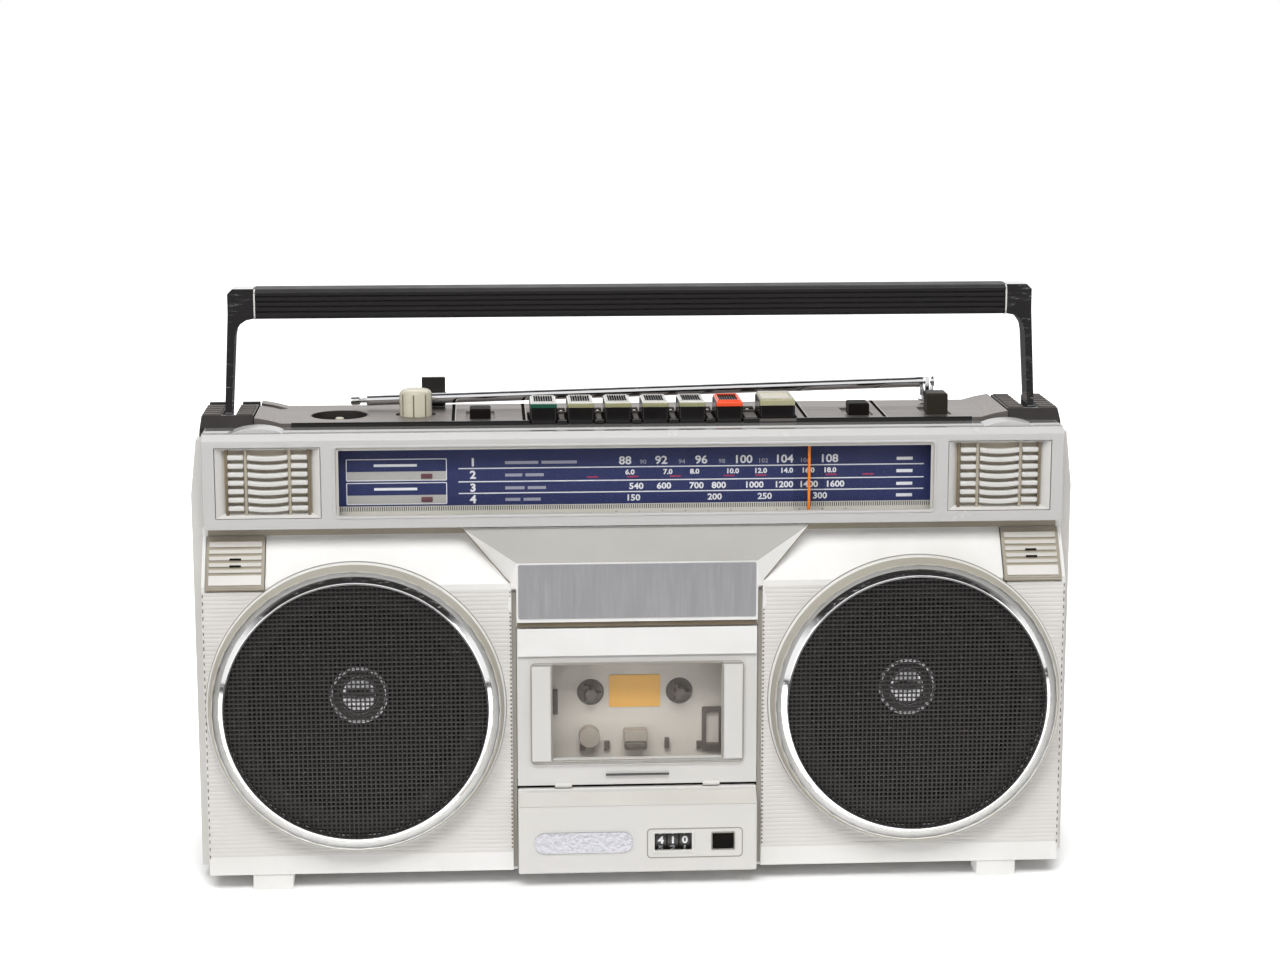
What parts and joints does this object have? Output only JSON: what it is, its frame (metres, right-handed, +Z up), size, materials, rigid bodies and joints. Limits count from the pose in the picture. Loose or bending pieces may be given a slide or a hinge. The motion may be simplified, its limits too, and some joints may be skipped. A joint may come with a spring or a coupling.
{
  "type": "boombox",
  "caption": "Silver portable radio cassette recorder with two round chrome-ringed speakers, a glazed tape door, a blue tuning dial, piano keys, a folding handle and a telescopic antenna.",
  "frame": {"origin": "under the middle of the overall box, level with the bottom of the feet", "axes": "+X to the right seen from the front, +Y from the speakers to the back, +Z up"},
  "size_m": [0.414, 0.118, 0.2815],
  "materials": {
    "silver_plastic": "satin",
    "pale_plastic": "satin",
    "beige_plastic": "matte",
    "black_plastic": "satin",
    "cream_plastic": "satin",
    "brushed_plate": "brushed",
    "chrome_plate": "polished",
    "plain_steel": "satin",
    "printed_scale": "satin",
    "pointer_plastic": "glossy",
    "circuit_board": "matte",
    "clear_plastic": "clear",
    "paper_cone": "matte"
  },
  "bodies": {
    "case": {"antenna_base": "chrome_plate", "antenna_clip": "black_plastic", "battery_tray": "black_plastic", "circuit_board": "circuit_board", "counter_panel": "pale_plastic", "deck_plate": "beige_plastic", "dial_bezel": "silver_plastic", "dial_plate": "printed_scale", "dial_window": "clear_plastic", "front_cabinet": "silver_plastic", "handle_bracket_left": "black_plastic", "handle_bracket_right": "black_plastic", "mic_grille_left": "silver_plastic", "mic_grille_right": "silver_plastic", "rear_cabinet": "silver_plastic", "speaker_grille_left": "black_plastic", "speaker_grille_right": "black_plastic", "speaker_ring_left": "chrome_plate", "speaker_ring_right": "chrome_plate", "tape_head": "plain_steel", "tape_motor": "plain_steel", "top_deck": "brushed_plate", "transformer": "plain_steel", "tweeter_grille_left": "silver_plastic", "tweeter_grille_right": "silver_plastic", "woofer_cone_left": "paper_cone", "woofer_cone_right": "paper_cone", "woofer_dome_left": "chrome_plate", "woofer_dome_right": "chrome_plate", "woofer_frame_left": "plain_steel", "woofer_frame_right": "plain_steel"},
    "handle": {"handle_grip": "black_plastic", "handle_arm_left": "chrome_plate", "handle_arm_right": "chrome_plate"},
    "antenna": {"antenna_tube": "chrome_plate"},
    "antenna_second": {"antenna_middle": "chrome_plate"},
    "antenna_third": {"antenna_tip": "chrome_plate"},
    "volume": {"volume_knob": "cream_plastic"},
    "tuning": {"tuning_shaft": "plain_steel"},
    "pointer": {"dial_pointer": "pointer_plastic"},
    "tape_door": {"cassette_door": "pale_plastic", "door_window": "clear_plastic"},
    "supply": {"supply_spindle": "black_plastic"},
    "take_up": {"take_up_spindle": "black_plastic"},
    "roller": {"pinch_roller": "black_plastic"},
    "units": {"counter_units": "black_plastic"},
    "tens": {"counter_tens": "black_plastic"},
    "hundreds": {"counter_hundreds": "black_plastic"},
    "reset": {"reset_button": "black_plastic"},
    "battery_hatch": {"battery_door": "silver_plastic"},
    "wide_key_body": {"wide_key": "black_plastic"},
    "key_1": {"tape_key_1": "black_plastic"},
    "key_2": {"tape_key_2": "black_plastic"},
    "key_3": {"tape_key_3": "black_plastic"},
    "key_4": {"tape_key_4": "black_plastic"},
    "key_5": {"tape_key_5": "black_plastic"},
    "key_6": {"tape_key_6": "black_plastic"},
    "band_switch": {"band_slider": "black_plastic"},
    "tape_radio_switch": {"tape_radio_slider": "black_plastic"},
    "mode_switch": {"mode_slider": "black_plastic"}
  },
  "joints": [
    {"name": "handle_fold", "type": "hinge", "parent": "case", "child": "handle", "pos_m": [0, -0.009, 0.2135], "axis": [-1, 0, 0], "range_deg": [0, 90]},
    {"name": "antenna_tilt", "type": "hinge", "parent": "case", "child": "antenna", "pos_m": [0.1455, 0.017, 0.23], "axis": [0, 1, 0], "range_deg": [0, 90]},
    {"name": "antenna_draw_second", "type": "slide", "parent": "antenna", "child": "antenna_second", "axis": [-0.9997, 0, -0.0236], "range_m": [0, 0.23]},
    {"name": "antenna_draw_third", "type": "slide", "parent": "antenna_second", "child": "antenna_third", "axis": [-0.9997, 0, -0.0236], "range_m": [0, 0.23]},
    {"name": "volume_turn", "type": "hinge", "parent": "case", "child": "volume", "pos_m": [-0.103, 0, 0.2184], "axis": [0, 0, 1], "range_deg": [-150, 150]},
    {"name": "tuning_turn", "type": "hinge", "parent": "case", "child": "tuning", "pos_m": [-0.1392, 0, 0.2087], "axis": [0, 0, 1], "range_deg": [-916, 229]},
    {"name": "pointer_slide", "type": "slide", "parent": "case", "child": "pointer", "axis": [1, 0, 0], "range_m": [-0.096, 0.024]},
    {"name": "tape_door_tilt", "type": "hinge", "parent": "case", "child": "tape_door", "pos_m": [0, -0.049, 0.049], "axis": [1, 0, 0], "range_deg": [0, 35]},
    {"name": "supply_turn", "type": "hinge", "parent": "case", "child": "supply", "pos_m": [-0.02125, -0.029, 0.0889], "axis": [0, 1, 0], "continuous": true},
    {"name": "take_up_turn", "type": "hinge", "parent": "case", "child": "take_up", "pos_m": [0.02125, -0.029, 0.0889], "axis": [0, 1, 0], "continuous": true},
    {"name": "pinch_roller_turn", "type": "hinge", "parent": "case", "child": "roller", "pos_m": [-0.022, -0.0293, 0.0679], "axis": [0, 1, 0], "continuous": true},
    {"name": "units_turn", "type": "hinge", "parent": "case", "child": "units", "pos_m": [0.0224, -0.0446, 0.02185], "axis": [1, 0, 0], "continuous": true},
    {"name": "tens_turn", "type": "hinge", "parent": "case", "child": "tens", "pos_m": [0.0167, -0.0446, 0.02185], "axis": [1, 0, 0], "continuous": true},
    {"name": "hundreds_turn", "type": "hinge", "parent": "case", "child": "hundreds", "pos_m": [0.011, -0.0446, 0.02185], "axis": [1, 0, 0], "continuous": true},
    {"name": "reset_press", "type": "slide", "parent": "case", "child": "reset", "axis": [0, 1, 0], "range_m": [0, 0.003], "stiffness_N_per_m": 60, "springref_m": -0.0008},
    {"name": "battery_door_open", "type": "hinge", "parent": "case", "child": "battery_hatch", "pos_m": [0, 0.059, 0.0108], "axis": [-1, 0, 0], "range_deg": [0, 80]},
    {"name": "tape_key_1_press", "type": "slide", "parent": "case", "child": "key_1", "axis": [0, 0, -1], "range_m": [0, 0.004], "stiffness_N_per_m": 250, "springref_m": -0.001},
    {"name": "tape_key_2_press", "type": "slide", "parent": "case", "child": "key_2", "axis": [0, 0, -1], "range_m": [0, 0.004], "stiffness_N_per_m": 250, "springref_m": -0.001},
    {"name": "tape_key_3_press", "type": "slide", "parent": "case", "child": "key_3", "axis": [0, 0, -1], "range_m": [0, 0.004], "stiffness_N_per_m": 250, "springref_m": -0.001},
    {"name": "tape_key_4_press", "type": "slide", "parent": "case", "child": "key_4", "axis": [0, 0, -1], "range_m": [0, 0.004], "stiffness_N_per_m": 250, "springref_m": -0.001},
    {"name": "tape_key_5_press", "type": "slide", "parent": "case", "child": "key_5", "axis": [0, 0, -1], "range_m": [0, 0.004], "stiffness_N_per_m": 250, "springref_m": -0.001},
    {"name": "tape_key_6_press", "type": "slide", "parent": "case", "child": "key_6", "axis": [0, 0, -1], "range_m": [0, 0.004], "stiffness_N_per_m": 250, "springref_m": -0.001},
    {"name": "wide_key_press", "type": "slide", "parent": "case", "child": "wide_key_body", "axis": [0, 0, -1], "range_m": [0, 0.004], "stiffness_N_per_m": 250, "springref_m": -0.001},
    {"name": "band_slide", "type": "slide", "parent": "case", "child": "band_switch", "axis": [0, 1, 0], "range_m": [0, 0.01]},
    {"name": "tape_radio_slide", "type": "slide", "parent": "case", "child": "tape_radio_switch", "axis": [0, 1, 0], "range_m": [0, 0.01]},
    {"name": "mode_slide", "type": "slide", "parent": "case", "child": "mode_switch", "axis": [0, 1, 0], "range_m": [0, 0.01]}
  ],
  "couplings": [
    {"joint": "pointer_slide", "follows": "tuning_turn", "m_per_rad": 0.006},
    {"joint": "units_turn", "follows": "take_up_turn", "ratio": 0.5},
    {"joint": "tens_turn", "follows": "take_up_turn", "ratio": 0.05},
    {"joint": "hundreds_turn", "follows": "take_up_turn", "ratio": 0.005}
  ]
}
